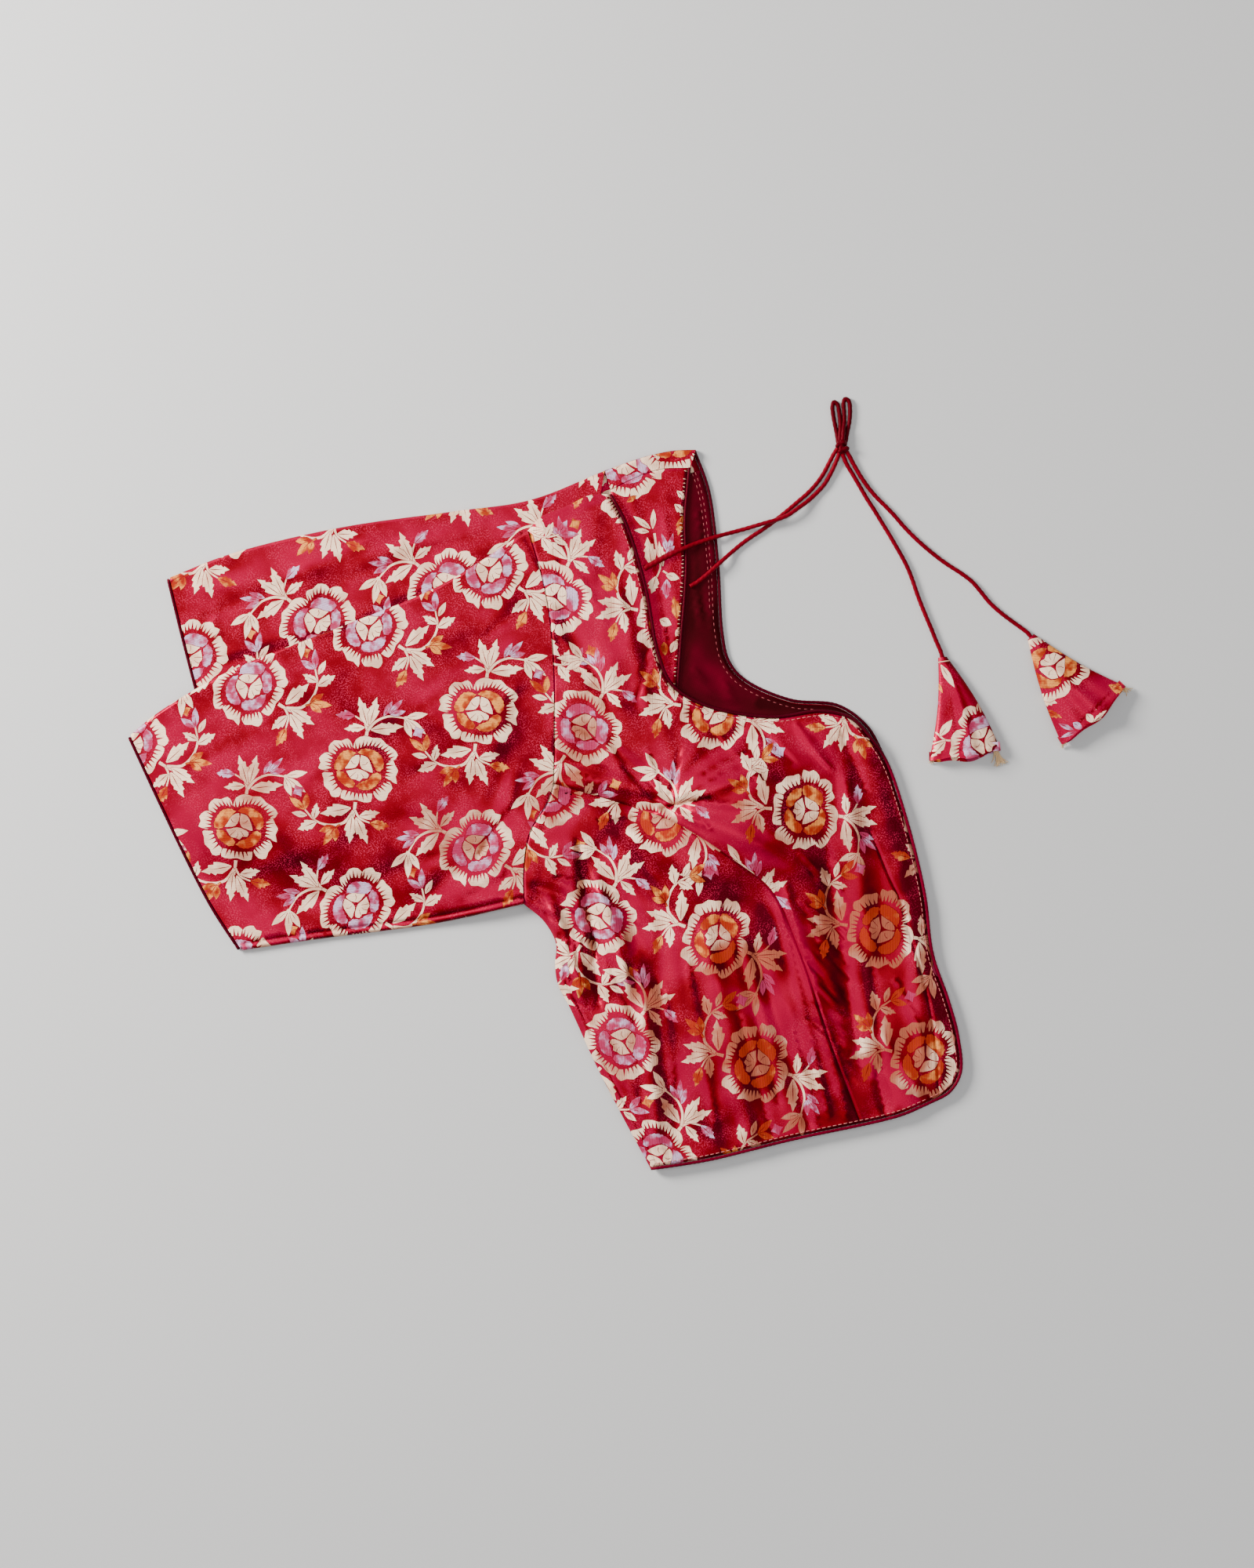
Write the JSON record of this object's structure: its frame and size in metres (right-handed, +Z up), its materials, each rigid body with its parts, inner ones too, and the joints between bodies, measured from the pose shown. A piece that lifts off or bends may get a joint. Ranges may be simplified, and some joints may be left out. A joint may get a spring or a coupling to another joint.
{
  "type": "backless blouse",
  "caption": "Short brocade blouse with elbow sleeves and a deep open back, folded in half and lying flat, its back tied with thin cords that end in cloth cones.",
  "frame": {"origin": "centre of the folded blouse without its tie, on the table that it lies on", "axes": "+X along the hem from the side seam to the centre front, +Y from the hem to the shoulder, +Z up from the table"},
  "size_m": [0.5589, 0.4063, 0.0169],
  "materials": {
    "brocade": "satin brocade, red and magenta, with woven flowers in cream, lilac and gold",
    "lining": "plain weave lining, dark maroon",
    "piping": "matt corded piping, dark maroon",
    "cord": "twisted cord, dark red"
  },
  "bodies": {
    "root": {"front_centre_near": "brocade", "front_side_near": "brocade", "sleeve_near": "brocade", "sleeve_far": "brocade", "front_far": "brocade", "front_far_lining": "lining", "back_far": "brocade", "folded_layers": "lining", "piping_near": "piping", "piping_far": "piping", "piping_back": "piping", "piping_cuff_near": "piping", "piping_cuff_far": "piping", "dori_near": "cord", "dori_far": "cord", "tie_knot": "cord", "bow_loop_left": "cord", "bow_loop_right": "cord", "tail_left": "cord", "tail_right": "cord", "tassel_left": "brocade", "tassel_right": "brocade"}
  },
  "joints": []
}
